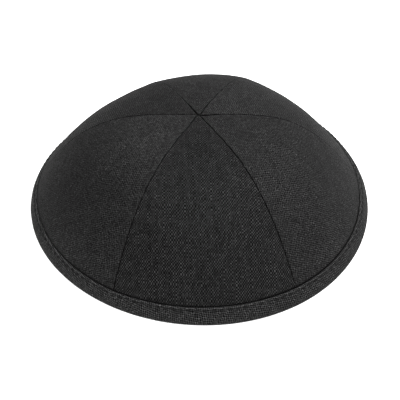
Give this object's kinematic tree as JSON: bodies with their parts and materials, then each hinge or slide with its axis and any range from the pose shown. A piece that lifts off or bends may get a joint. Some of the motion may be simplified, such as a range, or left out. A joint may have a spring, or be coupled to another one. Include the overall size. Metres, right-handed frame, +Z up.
{
  "type": "kippah",
  "caption": "Round black linen skullcap sewn from wedge-shaped panels that meet at the top, with a folded cloth binding stitched round its rim.",
  "frame": {"origin": "on the table, under the middle of the round rim that the kippah rests on", "axes": "+Z up through the crown; -Y is the side that faces the camera in the picture, at the middle of the front panel; +X to the right in the picture"},
  "size_m": [0.1604, 0.1604, 0.0459],
  "materials": {
    "panel_linen": "matt charcoal-black plain-weave linen with slubs",
    "binding_linen": "the same linen cut on the bias, folded over the rim and stitched"
  },
  "bodies": {
    "root": {"panel_left_back": "panel_linen", "panel_left_front": "panel_linen", "panel_front": "panel_linen", "panel_right_front": "panel_linen", "panel_right_back": "panel_linen", "panel_back": "panel_linen", "rim_binding": "binding_linen"}
  },
  "joints": []
}
